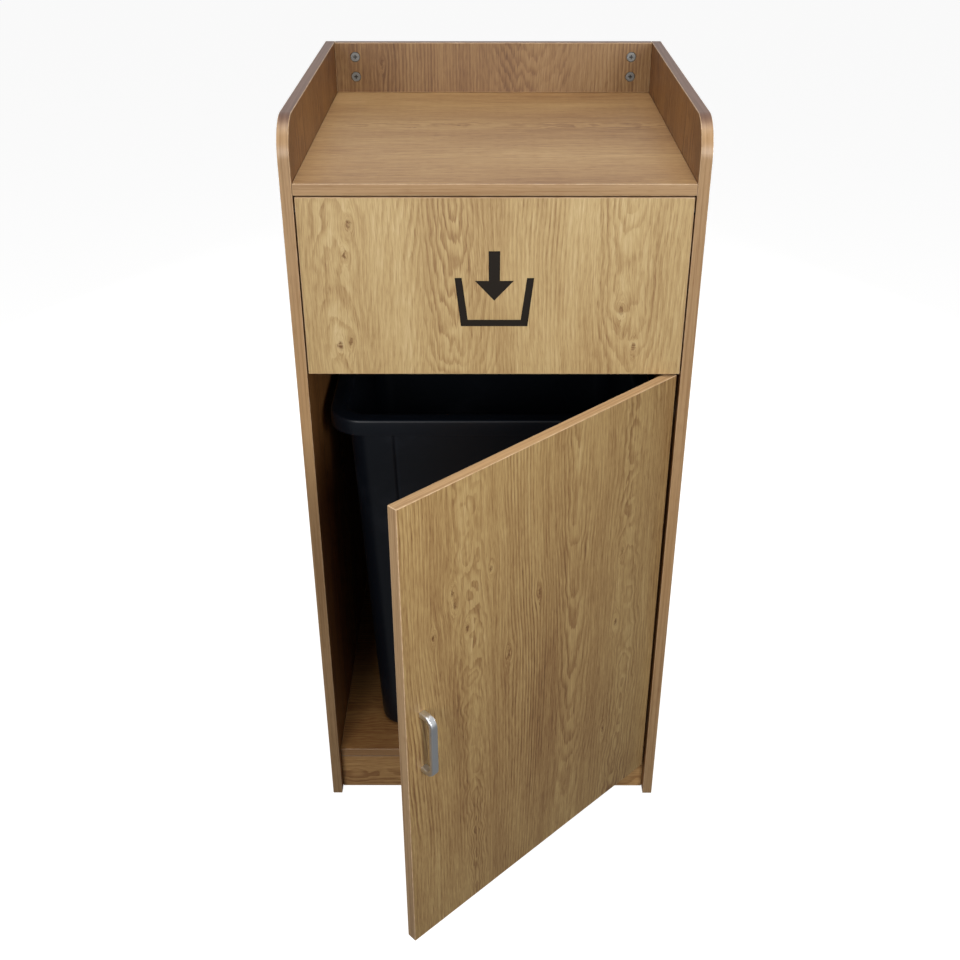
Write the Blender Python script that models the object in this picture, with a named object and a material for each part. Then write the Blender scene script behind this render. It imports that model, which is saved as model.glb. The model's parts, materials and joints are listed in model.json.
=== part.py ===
"""Waste cabinet: laminate boards, tray shelf, swing flap, hinged door, D-handle and liner bin.

Everything is laid out in the cabinet's own frame with the door closed: +X to the right, +Y to the
back, +Z up, Y = 0 on the front edges of the side panels and Z = 0 on the floor. Empties carry the
flap, the door, the hinge links and the bin, and one more empty moves the whole cabinet so that the
origin is at the bottom centre of its box, with the door standing open by DOOR_REST.
"""
import math

import bmesh
import bpy
from mathutils import Matrix, Vector

# Cabinet
WIDTH = 0.565
DEPTH = 0.560
HEIGHT = 1.174
BOARD = 0.016
CORNER_RADIUS = 0.050
SHELF_TOP = 1.093
DECK_TOP = 0.087
GAP = 0.0003
INNER_X = WIDTH / 2 - BOARD
SHELF_BOTTOM = SHELF_TOP - BOARD
DECK_BOTTOM = DECK_TOP - BOARD

# Front plane of the deck and the plinth, 2 mm behind the closed door's inner face
DECK_FRONT = BOARD + 0.002

# Back panel, held in grooves
PANEL_THICKNESS = 0.006
PANEL_FRONT = 0.537
GROOVE_DEPTH = 0.006

# Swing flap
FLAP_TOP = 1.075
FLAP_BOTTOM = 0.819
FLAP_SIDE_GAP = 0.002
PIVOT_Z = 1.054
PIN_RADIUS = 0.004
PIN_IN_FLAP = 0.020
PIN_IN_BUSH = 0.008
BUSH_RADIUS = 0.006
BUSH_LENGTH = 0.0095
INLAY_DEPTH = 0.0009

# Stop strip behind the flap's top edge
STRIP_BOTTOM = PIVOT_Z + 0.010
STRIP_THICKNESS = 0.0137

# Door
DOOR_TOP = 0.816
DOOR_BOTTOM = 0.065
DOOR_SIDE_GAP = 0.003
DOOR_REST = math.radians(44.3)
HINGE_X = 0.2578
HINGE_Y = -0.0004
HINGE_FROM_END = 0.071

# Handle
HANDLE_X = -0.2355
HANDLE_Z = 0.442
HANDLE_SPACING = 0.096
HANDLE_WIDTH = 0.0105
HANDLE_THICKNESS = 0.008
HANDLE_REACH = 0.024
HANDLE_BEND = 0.011
HANDLE_SQUARENESS = 0.6
HANDLE_SIDES = 12
SCREW_RADIUS = 0.0018
SCREW_IN_HANDLE = 0.0085
SCREW_HEAD_RADIUS = 0.0042

# Bumpers, stuck on the door's inner face where it meets the deck's edge
BUMPER_RADIUS = 0.005
BUMPER_HEIGHT = 0.0014
BUMPER_X = {"left": -0.245, "right": 0.200}

# Cam locks: 15 mm discs, their centres 34 mm from the board's end
CAM_RADIUS = 0.0075
CAM_HEIGHT = 0.012
CAM_INSET = 0.034
CAM_SINK = 0.0003
CAM_SLOT_WIDTH = 0.008
CAM_SLOT_PAST_AXIS = 0.0042
BOLT_IN_PANEL = 0.0097
BOLT_RADIUS = 0.003
BOLT_SHANK_RADIUS = 0.0035
BOLT_NECK_RADIUS = 0.002
BOLT_HOLE_RADIUS = 0.0039

# Liner bin
BIN_BOTTOM = DECK_TOP + GAP
BIN_TOP = 0.724
BIN_FRONT = 0.040
BIN_RIM = (0.500, 0.460)
BIN_CENTRE_Y = BIN_FRONT + BIN_RIM[1] / 2
BIN_SKIRT = 0.026
BIN_OVERHANG = 0.026
BIN_WALL = 0.003
BIN_TAPER = (0.026, 0.010)

CABINET_BOLT_Y = (0.060, 0.480)
GUARD_CAM_Z = (1.119, 1.151)


def door_point(x, y, opening=DOOR_REST):
    """Where a point of the closed door goes when the door is open."""
    arm = Matrix.Rotation(opening, 2) @ Vector((x - HINGE_X, y - HINGE_Y))
    return HINGE_X + arm.x, HINGE_Y + arm.y


# The foremost point of the whole is on the open door's handle, on its rounded outer corner
HANDLE_CORNER = 0.5 ** (HANDLE_SQUARENESS / 2)
FRONT_Y = door_point(HANDLE_X - HANDLE_CORNER * HANDLE_WIDTH / 2,
                     -HANDLE_REACH - HANDLE_CORNER * HANDLE_THICKNESS / 2)[1]
MIDDLE_Y = (FRONT_Y + DEPTH) / 2


# ---------------------------------------------------------------- helpers

def clear_scene():
    for old in list(bpy.data.objects):
        bpy.data.objects.remove(old, do_unlink=True)


def make_material(name, colour, roughness, metallic=0.0):
    finish = bpy.data.materials.new(name)
    finish.use_nodes = True
    shader = finish.node_tree.nodes["Principled BSDF"]
    shader.inputs["Base Color"].default_value = (*colour, 1.0)
    shader.inputs["Roughness"].default_value = roughness
    shader.inputs["Metallic"].default_value = metallic
    finish.diffuse_color = (*colour, 1.0)
    return finish


def add_frame(name, origin, parent=None, turn=0.0):
    empty = bpy.data.objects.new(name, None)
    bpy.context.collection.objects.link(empty)
    empty.parent = parent
    empty.location = origin
    empty.rotation_euler.z = turn
    return empty


def offset_of(frame):
    """Where a frame sits in cabinet coordinates; only the cabinet's own frame has no parent."""
    return frame.location if frame.parent else Vector()


def place(name, mesh, finish, frame, at):
    """Add a piece whose mesh is built around `at`, a point in cabinet coordinates."""
    piece = bpy.data.objects.new(name, mesh)
    bpy.context.collection.objects.link(piece)
    piece.parent = frame
    piece.location = Vector(at) - offset_of(frame)
    if not mesh.materials:
        mesh.materials.append(finish)
    return piece


def own(piece, point):
    """A point given in cabinet coordinates, in the piece's own coordinates."""
    return Vector(point) - offset_of(piece.parent) - piece.location


def mesh_from(name, build):
    """A mesh filled by build(bm), with its faces turned outwards."""
    bm = bmesh.new()
    build(bm)
    bmesh.ops.recalc_face_normals(bm, faces=bm.faces)
    mesh = bpy.data.meshes.new(name)
    bm.to_mesh(mesh)
    bm.free()
    return mesh


def box(bm, size, centre=(0, 0, 0)):
    scale = Matrix.Diagonal((*size, 1.0))
    bmesh.ops.create_cube(bm, size=1.0, matrix=Matrix.Translation(centre) @ scale)


def cylinder(bm, radius, length, axis="Z", centre=(0, 0, 0), sides=20):
    turn = {"X": Matrix.Rotation(math.pi / 2, 4, "Y"),
            "Y": Matrix.Rotation(-math.pi / 2, 4, "X"),
            "Z": Matrix.Identity(4)}[axis]
    bmesh.ops.create_cone(bm, cap_ends=True, segments=sides, radius1=radius, radius2=radius,
                          depth=length, matrix=Matrix.Translation(centre) @ turn)


def prism(bm, outline, low, high, axis="Z"):
    """Extrude a 2-D outline: (x, y) along Z, (y, z) along X, or (x, z) along Y."""
    order = {"Z": lambda a, b, c: (a, b, c),
             "X": lambda a, b, c: (c, a, b),
             "Y": lambda a, b, c: (a, c, b)}[axis]
    base = bm.faces.new([bm.verts.new(order(a, b, low)) for a, b in outline])
    moved = bmesh.ops.extrude_face_region(bm, geom=[base])["geom"]
    tops = [item for item in moved if isinstance(item, bmesh.types.BMVert)]
    bmesh.ops.translate(bm, verts=tops, vec=order(0, 0, high - low))


def loft(bm, rings):
    """Skin a list of equal rings of points and cap both ends."""
    rows = [[bm.verts.new(point) for point in ring] for ring in rings]
    for lower, upper in zip(rows, rows[1:]):
        for i in range(len(lower)):
            j = (i + 1) % len(lower)
            bm.faces.new((lower[i], lower[j], upper[j], upper[i]))
    bm.faces.new(rows[0])
    bm.faces.new(list(reversed(rows[-1])))


def lathe(bm, profile, axis="Z", sides=16):
    """Turn a profile of (radius, height) points, both ends on the axis, into a closed body."""
    order = {"Z": lambda a, b, h: (a, b, h),
             "X": lambda a, b, h: (h, a, b),
             "Y": lambda a, b, h: (a, h, b)}[axis]
    start = bm.verts.new(order(0, 0, profile[0][1]))
    end = bm.verts.new(order(0, 0, profile[-1][1]))
    rows = []
    for radius, height in profile[1:-1]:
        angles = [math.tau * i / sides for i in range(sides)]
        rows.append([bm.verts.new(order(radius * math.cos(t), radius * math.sin(t), height))
                     for t in angles])
    for i in range(sides):
        j = (i + 1) % sides
        bm.faces.new((start, rows[0][i], rows[0][j]))
        for lower, upper in zip(rows, rows[1:]):
            bm.faces.new((lower[i], upper[i], upper[j], lower[j]))
        bm.faces.new((end, rows[-1][j], rows[-1][i]))


def arc(radius, start, end, steps, centre=(0, 0)):
    """Points on an arc, angles in degrees."""
    angles = [math.radians(start + (end - start) * i / steps) for i in range(steps + 1)]
    return [(centre[0] + radius * math.cos(t), centre[1] + radius * math.sin(t)) for t in angles]


def rounded_ring(half_x, half_y, radius, z, centre_y=0.0, steps=5):
    """A rounded rectangle of points at height z."""
    corners = ((1, 1, 0), (-1, 1, 90), (-1, -1, 180), (1, -1, 270))
    ring = []
    for sign_x, sign_y, start in corners:
        middle = (sign_x * (half_x - radius), centre_y + sign_y * (half_y - radius))
        ring += [(x, y, z) for x, y in arc(radius, start, start + 90, steps, middle)]
    return ring


def cut(piece, name, build):
    """Cut the shapes that build(bm) makes, in the piece's own coordinates, out of the piece."""
    tool = bpy.data.objects.new(name, mesh_from(name, build))
    bpy.context.collection.objects.link(tool)
    tool.parent = piece.parent
    tool.location = piece.location
    tool.hide_render = True
    tool.display_type = "WIRE"
    boolean = piece.modifiers.new(name, "BOOLEAN")
    boolean.operation = "DIFFERENCE"
    boolean.solver = "EXACT"
    boolean.object = tool


def baked(name, build, cuts):
    """A mesh with its cuts applied, for pieces that share one mesh."""
    piece = bpy.data.objects.new(name, mesh_from(name, build))
    bpy.context.collection.objects.link(piece)
    for index, cut_build in enumerate(cuts):
        cut(piece, f"{name}_cut_{index}", cut_build)
    bpy.context.view_layer.update()
    evaluated = piece.evaluated_get(bpy.context.evaluated_depsgraph_get())
    mesh = bpy.data.meshes.new_from_object(evaluated)
    mesh.name = name
    for modifier in list(piece.modifiers):
        bpy.data.objects.remove(modifier.object, do_unlink=True)
    bpy.data.objects.remove(piece, do_unlink=True)
    return mesh


def smooth(mesh, angle=40):
    mesh.shade_smooth()
    mesh.set_sharp_from_angle(angle=math.radians(angle))
    return mesh


# ---------------------------------------------------------------- boards

def add_board(name, low, high, finish, frame):
    """A plain rectangular board between two corners given in cabinet coordinates."""
    size = [b - a for a, b in zip(low, high)]
    centre = [(a + b) / 2 for a, b in zip(low, high)]
    return place(name, mesh_from(name, lambda bm: box(bm, size)), finish, frame, centre)


def side_outline():
    """Side panel in (y, z), with its front top corner rounded."""
    middle = (CORNER_RADIUS, HEIGHT - CORNER_RADIUS)
    return [(0, 0), (DEPTH, 0), (DEPTH, HEIGHT)] + arc(CORNER_RADIUS, 90, 180, 10, middle)


def side_bolt_places():
    """(y, z) of every cam bolt that enters a side panel."""
    places = [(y, z) for z in (SHELF_TOP - BOARD / 2, DECK_TOP - BOARD / 2) for y in CABINET_BOLT_Y]
    return places + [(DEPTH - BOARD / 2, z) for z in GUARD_CAM_Z]


def add_side_panel(side, finish, cabinet):
    """side is -1 for the left panel and +1 for the right one."""
    name = "left_side_panel" if side < 0 else "right_side_panel"
    low = min(0, side * BOARD)
    mesh = mesh_from(name, lambda bm: prism(bm, side_outline(), low, low + BOARD, "X"))
    panel = place(name, mesh, finish, cabinet, (side * INNER_X, 0, 0))

    def groove(bm):
        width = PANEL_THICKNESS + 2 * GAP
        bottom = DECK_TOP - GROOVE_DEPTH - GAP
        top = SHELF_BOTTOM + GROOVE_DEPTH + GAP
        middle = (0, PANEL_FRONT + PANEL_THICKNESS / 2, (bottom + top) / 2)
        box(bm, (2 * (GROOVE_DEPTH + GAP), width, top - bottom), middle)

    def holes(bm):
        for y, z in side_bolt_places():
            cylinder(bm, BOLT_RADIUS + GAP, 2 * (BOLT_IN_PANEL + GAP), "X", (0, y, z), 10)
        bush_bore = 2 * (BUSH_LENGTH + GAP)
        cylinder(bm, BUSH_RADIUS + GAP, bush_bore, "X", (0, BOARD / 2, PIVOT_Z), 16)

    cut(panel, f"{name}_groove", groove)
    cut(panel, f"{name}_holes", holes)
    return panel


def cut_cam_seats(board, tag, half_length, seats, face, bolt_axis_drop):
    """Cam pockets and bolt holes in both ends of a board.

    seats are (u, w) in the board's own coordinates; face is "underside" or "front".
    """
    depth = CAM_HEIGHT + 2 * CAM_SINK

    def pockets(bm):
        for side in (-1, 1):
            for seat in seats:
                x = side * (half_length - CAM_INSET + GAP)
                if face == "underside":
                    centre = (x, seat, -bolt_axis_drop)
                    cylinder(bm, CAM_RADIUS + GAP, 2 * depth, "Z", centre)
                else:
                    centre = (x, -bolt_axis_drop, seat)
                    cylinder(bm, CAM_RADIUS + GAP, 2 * depth, "Y", centre)

    def holes(bm):
        for side in (-1, 1):
            for seat in seats:
                centre = (side * half_length, seat, 0) if face == "underside" else (
                    side * half_length, 0, seat)
                cylinder(bm, BOLT_HOLE_RADIUS, 2 * (CAM_INSET - CAM_RADIUS), "X", centre, 10)

    cut(board, f"{tag}_pockets", pockets)
    cut(board, f"{tag}_bolt_holes", holes)


def add_boards(finish, panel_finish, cabinet):
    half = INNER_X - GAP
    for side in (-1, 1):
        add_side_panel(side, finish["sides"], cabinet)

    shelf = add_board("tray_shelf", (-half, 0, SHELF_BOTTOM), (half, DEPTH, SHELF_TOP),
                      finish["shelf"], cabinet)
    deck = add_board("deck", (-half, DECK_FRONT, DECK_BOTTOM), (half, DEPTH, DECK_TOP),
                     finish["deck"], cabinet)
    guard = add_board("back_guard", (-half, DEPTH - BOARD, SHELF_TOP + GAP), (half, DEPTH, HEIGHT),
                      finish["guard"], cabinet)
    for board, tag, sign in ((shelf, "shelf", -1), (deck, "deck", 1)):
        middle_y = board.location.y
        width = PANEL_THICKNESS + 2 * GAP
        groove_y = PANEL_FRONT + PANEL_THICKNESS / 2 - middle_y
        size = (2 * INNER_X, width, 2 * (GROOVE_DEPTH + GAP))
        cut(board, f"{tag}_groove",
            lambda bm, s=size, y=groove_y, z=sign: box(bm, s, (0, y, z * BOARD / 2)))
        seats = [y - middle_y for y in CABINET_BOLT_Y]
        cut_cam_seats(board, tag, half, seats, "underside", BOARD / 2)
    seats = [z - guard.location.z for z in GUARD_CAM_Z]
    cut_cam_seats(guard, "guard", half, seats, "front", BOARD / 2)

    reach = INNER_X + GROOVE_DEPTH
    add_board("back_panel", (-reach, PANEL_FRONT, DECK_TOP - GROOVE_DEPTH),
              (reach, PANEL_FRONT + PANEL_THICKNESS, SHELF_BOTTOM + GROOVE_DEPTH),
              panel_finish, cabinet)
    add_board("front_plinth", (-half, DECK_FRONT, 0), (half, DECK_FRONT + BOARD, DECK_BOTTOM - GAP),
              finish["plinth"], cabinet)
    add_board("rear_plinth", (-half, DEPTH - BOARD, 0), (half, DEPTH, DECK_BOTTOM - GAP),
              finish["plinth"], cabinet)
    strip_front = BOARD + GAP
    add_board("flap_stop_strip", (-half, strip_front, STRIP_BOTTOM),
              (half, strip_front + STRIP_THICKNESS, SHELF_BOTTOM - GAP), finish["strip"], cabinet)


# ---------------------------------------------------------------- cam locks

def cam_mesh(name, turn):
    """A cam disc around its own axis, face down at z = 0, slot towards +X, then turned."""
    middle = BOARD / 2 - CAM_SINK

    def body(bm):
        cylinder(bm, CAM_RADIUS, CAM_HEIGHT, "Z", (0, 0, CAM_HEIGHT / 2))

    def slot(bm):
        height = 2 * (CAM_HEIGHT - middle) + 2 * GAP
        centre = (CAM_RADIUS - CAM_SLOT_PAST_AXIS, 0, middle)
        box(bm, (CAM_RADIUS * 2, CAM_SLOT_WIDTH, height), centre)

    def cross(bm):
        arm, width, deep = 0.0033, 0.0009, 0.0012
        corners = []
        for quarter in range(4):
            spin = Matrix.Rotation(quarter * math.pi / 2, 2)
            corners += [spin @ Vector(p) for p in ((arm, -width), (arm, width), (width, width))]
        prism(bm, [tuple(p) for p in corners], -deep, deep)

    mesh = baked(name, body, (slot, cross))
    mesh.transform(turn)
    return smooth(mesh)


def bolt_mesh(name):
    """A cam bolt along +X from its threaded end, x = 0 at the board joint."""
    head = CAM_INSET
    neck_start, neck_end, tip = head - 0.012, head - 0.0035, head + 0.0034
    shank, neck = BOLT_SHANK_RADIUS, BOLT_NECK_RADIUS
    profile = [(0, -BOLT_IN_PANEL), (BOLT_RADIUS, -BOLT_IN_PANEL), (BOLT_RADIUS, -0.0002),
               (shank, 0.0002), (shank, neck_start), (neck, neck_start), (neck, neck_end),
               (shank, neck_end + 0.001), (shank, tip - 0.0014), (0.0022, tip), (0, tip)]
    return smooth(mesh_from(name, lambda bm: lathe(bm, profile, "X", 10)))


def add_cam_locks(finish, cabinet):
    toward_side = {-1: Matrix.Rotation(math.pi, 4, "Z"), 1: Matrix.Identity(4)}
    stand = Matrix.Rotation(-math.pi / 2, 4, "X")
    flat_cams = {side: cam_mesh(f"cam_{side}", toward_side[side]) for side in (-1, 1)}
    upright_cams = {side: cam_mesh(f"cam_upright_{side}", stand @ toward_side[side])
                    for side in (-1, 1)}
    bolts = {-1: bolt_mesh("bolt_left"), 1: bolt_mesh("bolt_right")}
    bolts[1].transform(Matrix.Rotation(math.pi, 4, "Z"))
    for side, word in ((-1, "left"), (1, "right")):
        cam_x = side * (INNER_X - CAM_INSET)
        joint_x = side * INNER_X
        for tag, low_face in (("shelf", SHELF_BOTTOM), ("deck", DECK_BOTTOM)):
            for y, end in zip(CABINET_BOLT_Y, ("front", "rear")):
                place(f"{tag}_cam_{word}_{end}", flat_cams[side], finish["cam"], cabinet,
                      (cam_x, y, low_face + CAM_SINK))
                place(f"{tag}_bolt_{word}_{end}", bolts[side], finish["bolt"], cabinet,
                      (joint_x, y, low_face + BOARD / 2))
        for z, end in zip(GUARD_CAM_Z, ("lower", "upper")):
            place(f"guard_cam_{word}_{end}", upright_cams[side], finish["cam"], cabinet,
                  (cam_x, DEPTH - BOARD + CAM_SINK, z))
            place(f"guard_bolt_{word}_{end}", bolts[side], finish["bolt"], cabinet,
                  (joint_x, DEPTH - BOARD / 2, z))


# ---------------------------------------------------------------- flap

def arrow_outline(grow=0.0):
    """Downward arrow in (x, z), its outline pushed out by `grow` all round."""
    shaft, head, top, neck, tip = 0.0075, 0.026, 0.054, 0.012, -0.016
    slope = math.hypot(head, neck - tip) / head
    barb = 2.2 * grow
    return [(shaft + grow, top + grow), (-shaft - grow, top + grow), (-shaft - grow, neck + grow),
            (-head - barb, neck + grow), (0, tip - slope * grow),
            (head + barb, neck + grow), (shaft + grow, neck + grow)]


def container_outline(grow=0.0):
    """Open-topped container in (x, z): a U of even stroke."""
    outer, low, top, stroke, taper = 0.054, -0.054, 0.016, 0.009, 0.008
    inner, floor = outer - stroke, low + stroke
    return [(-outer - grow, top + grow), (-outer + taper - grow, low - grow),
            (outer - taper + grow, low - grow), (outer + grow, top + grow),
            (inner - grow, top + grow), (inner - taper - grow, floor + grow),
            (-inner + taper + grow, floor + grow), (-inner + grow, top + grow)]


def add_flap(finish, flap, cabinet):
    half_x = INNER_X - FLAP_SIDE_GAP
    height = FLAP_TOP - FLAP_BOTTOM
    middle = Vector((0, BOARD / 2, (FLAP_TOP + FLAP_BOTTOM) / 2))
    mesh = mesh_from("flap_panel", lambda bm: box(bm, (2 * half_x, BOARD, height)))
    panel = place("flap_panel", mesh, finish["flap"], flap, middle)

    def pin_holes(bm):
        for side in (-1, 1):
            at = own(panel, (side * half_x, BOARD / 2, PIVOT_Z))
            cylinder(bm, PIN_RADIUS + GAP, 2 * (PIN_IN_FLAP + GAP), "X", at, 16)

    front = -BOARD / 2
    seat_floor = front + INLAY_DEPTH + GAP

    def arrow_seat(bm):
        prism(bm, arrow_outline(GAP), front - INLAY_DEPTH, seat_floor, "Y")

    def container_seat(bm):
        prism(bm, container_outline(GAP), front - INLAY_DEPTH, seat_floor, "Y")

    cut(panel, "flap_pin_holes", pin_holes)
    cut(panel, "flap_arrow_seat", arrow_seat)
    cut(panel, "flap_container_seat", container_seat)
    for name, outline in (("sign_arrow", arrow_outline()), ("sign_bin", container_outline())):
        mesh = mesh_from(name, lambda bm, o=outline: prism(bm, o, 0, INLAY_DEPTH, "Y"))
        place(name, mesh, finish["sign"], flap, (0, 0, middle.z))

    for side, word in ((-1, "left"), (1, "right")):
        inner, outer = half_x - PIN_IN_FLAP, INNER_X + PIN_IN_BUSH
        length = outer - inner
        mesh = mesh_from("flap_pin", lambda bm, s=length: cylinder(bm, PIN_RADIUS, s, "X", sides=16))
        place(f"flap_pin_{word}", smooth(mesh), finish["steel"], flap,
              (side * (inner + outer) / 2, BOARD / 2, PIVOT_Z))
        bore = PIN_RADIUS + GAP
        profile = [(0, BUSH_LENGTH), (BUSH_RADIUS, BUSH_LENGTH), (BUSH_RADIUS, 0), (bore, 0),
                   (bore, PIN_IN_BUSH + GAP), (0, PIN_IN_BUSH + GAP)]
        points = [(r, side * h) for r, h in profile]
        mesh = mesh_from("flap_bush", lambda bm, p=points: lathe(bm, p, "X", 16))
        place(f"flap_bush_{word}", smooth(mesh), finish["nylon"], cabinet,
              (side * INNER_X, BOARD / 2, PIVOT_Z))


# ---------------------------------------------------------------- door

def squared(value):
    """Push a sine or cosine outwards, which turns a circle into a rounded square."""
    return math.copysign(abs(value) ** HANDLE_SQUARENESS, value)


def handle_rings():
    """Rounded sections along the handle: up from one foot, round two bends and down again."""
    reach, bend = HANDLE_REACH, HANDLE_BEND
    half = HANDLE_SPACING / 2
    path = [((-GAP, -half), (-1, 0)), ((-reach + bend, -half), (-1, 0))]
    for y, z in arc(bend, 0, 90, 6, (0, 0))[1:-1]:
        path.append(((-reach + bend - z, -half + bend - y), (-y / bend, z / bend)))
    path.append(((-reach, -half + bend), (0, 1)))
    mirrored = [((y, -z), (-dy, dz)) for (y, z), (dy, dz) in reversed(path)]
    rings = []
    for (y, z), (dy, dz) in path + mirrored:
        ring = []
        for a in range(HANDLE_SIDES):
            t = math.tau * (a + 0.5) / HANDLE_SIDES
            across = squared(math.cos(t)) * HANDLE_WIDTH / 2
            depth = squared(math.sin(t)) * HANDLE_THICKNESS / 2
            ring.append((across, y + dz * depth, z - dy * depth))
        rings.append(ring)
    return rings


def add_handle(finish, door, panel):
    mesh = smooth(mesh_from("handle", lambda bm: loft(bm, handle_rings())), 50)
    handle = place("handle", mesh, finish["handle"], door, (HANDLE_X, 0, HANDLE_Z))
    feet = [(-HANDLE_SPACING / 2, "lower"), (HANDLE_SPACING / 2, "upper")]

    def screw_sockets(bm):
        for z, _ in feet:
            cylinder(bm, SCREW_RADIUS + GAP, 0.020, "Y", (0, 0, z), 10)

    def door_holes(bm):
        for z, _ in feet:
            at = own(panel, (HANDLE_X, BOARD / 2, HANDLE_Z + z))
            cylinder(bm, SCREW_RADIUS + 0.0007, 2 * BOARD, "Y", at, 10)

    cut(handle, "handle_sockets", screw_sockets)
    cut(panel, "door_handle_holes", door_holes)
    shank, head, seat = SCREW_RADIUS, SCREW_HEAD_RADIUS, BOARD + GAP
    profile = [(0, -SCREW_IN_HANDLE), (shank, -SCREW_IN_HANDLE), (shank, seat), (head, seat),
               (head, BOARD + 0.0015), (head * 2 / 3, BOARD + 0.0027), (0, BOARD + 0.0027)]
    mesh = smooth(mesh_from("handle_screw", lambda bm: lathe(bm, profile, "Y", 12)))
    for z, word in feet:
        place(f"handle_screw_{word}", mesh, finish["steel"], door, (HANDLE_X, 0, HANDLE_Z + z))


def add_door(finish, door):
    half_x = INNER_X - DOOR_SIDE_GAP
    panel = add_board("door_panel", (-half_x, 0, DOOR_BOTTOM), (half_x, BOARD, DOOR_TOP),
                      finish["door"], door)
    add_handle(finish, door, panel)
    bumper_z = (DECK_BOTTOM + DECK_TOP) / 2
    shoulder, crown = (BUMPER_RADIUS * 0.9, BUMPER_HEIGHT * 0.65), (BUMPER_RADIUS * 0.6, BUMPER_HEIGHT)
    profile = [(0, 0), (BUMPER_RADIUS, 0), shoulder, crown, (0, BUMPER_HEIGHT)]
    mesh = smooth(mesh_from("door_bumper", lambda bm: lathe(bm, profile, "Y", 12)))
    for word, x in BUMPER_X.items():
        place(f"door_bumper_{word}", mesh, finish["rubber"], door, (x, BOARD + GAP, bumper_z))
    return panel


# ---------------------------------------------------------------- hinges

# Each hinge's leaves are arcs about the door's axis that slide past each other
CUP_FROM_EDGE = 0.0225
CUP_RADIUS = 0.0175
CUP_DEPTH = 0.0115
CUP_FLANGE_RADIUS = 0.0200
CUP_WALL = 0.002
LEAF_HALF_HEIGHT = 0.006
ARM_HALF_HEIGHT = 0.007
PLATE_X = (0.0042, 0.0084)
LEAF_ARC = (0.0255, 0.0285)
LINK_ARC = (0.0290, 0.0315)
ARM_ARC = (0.0320, 0.0350)


def ring_sector(radii, start, end, steps=10):
    return arc(radii[1], start, end, steps) + arc(radii[0], end, start, steps)


def arm_outline():
    """The arm in (x, y) about the axis: an arc that runs back into a straight arm."""
    inside, outside, left, end = 0.0039, ARM_ARC[1], -0.005, 0.088
    start_in = math.degrees(math.acos(inside / ARM_ARC[0]))
    start_out = math.degrees(math.acos(left / outside))
    return ([(inside, end)] + [(left, end)] + arc(outside, start_out, 135, 6)
            + arc(ARM_ARC[0], 135, start_in, 8))


def plate_outline():
    """Mounting plate in (y, z): a long bar with a cross wing."""
    corners = [(0.040, 0.009), (0.056, 0.009), (0.056, 0.024), (0.070, 0.024), (0.070, 0.009),
               (0.086, 0.009)]
    return corners + [(y, -z) for y, z in reversed(corners)]


def cup_profile():
    """(radius, y) of the cup, y measured from the door's inner face towards the cabinet."""
    bottom = -CUP_DEPTH + GAP
    inner, inner_bottom, flange = CUP_RADIUS - CUP_WALL, bottom + 0.0012, CUP_FLANGE_RADIUS
    return [(0, bottom), (CUP_RADIUS, bottom), (CUP_RADIUS, GAP), (flange, GAP), (flange, 0.0012),
            (inner + GAP, 0.0015), (inner, inner_bottom), (0, inner_bottom)]


def add_hinges(finish, cabinet, door, links, door_panel):
    cup_x = INNER_X - DOOR_SIDE_GAP - CUP_FROM_EDGE
    heights = {"lower": DOOR_BOTTOM + HINGE_FROM_END, "upper": DOOR_TOP - HINGE_FROM_END}

    def cup_pockets(bm):
        for z in heights.values():
            at = own(door_panel, (cup_x, BOARD, z))
            cylinder(bm, CUP_RADIUS + GAP, 2 * CUP_DEPTH, "Y", at, 28)

    cut(door_panel, "door_cup_pockets", cup_pockets)
    axis = (HINGE_X, HINGE_Y)
    cup = smooth(mesh_from("hinge_cup", lambda bm: lathe(bm, cup_profile(), "Y", 28)))
    leaf_low, leaf_high = -LEAF_HALF_HEIGHT, LEAF_HALF_HEIGHT
    arm_low, arm_high = -ARM_HALF_HEIGHT, ARM_HALF_HEIGHT
    leaf_outline, link_outline = ring_sector(LEAF_ARC, 80, 162), ring_sector(LINK_ARC, 75, 137)
    leaf = mesh_from("hinge_leaf", lambda bm: prism(bm, leaf_outline, leaf_low, leaf_high))
    link = mesh_from("hinge_link", lambda bm: prism(bm, link_outline, arm_low, arm_high))
    arm = mesh_from("hinge_arm", lambda bm: prism(bm, arm_outline(), arm_low, arm_high))
    plate = mesh_from("hinge_plate", lambda bm: prism(bm, plate_outline(), *PLATE_X, "X"))
    for word, z in heights.items():
        at = (*axis, z)
        place(f"hinge_cup_{word}", cup, finish["cup"], door, (cup_x, BOARD, z))
        place(f"hinge_leaf_{word}", leaf, finish["hinge"], door, at)
        place(f"hinge_link_{word}", link, finish["hinge"], links, at)
        place(f"hinge_arm_{word}", arm, finish["hinge"], cabinet, at)
        place(f"hinge_plate_{word}", plate, finish["plate"], cabinet, at)


# ---------------------------------------------------------------- bin

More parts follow.
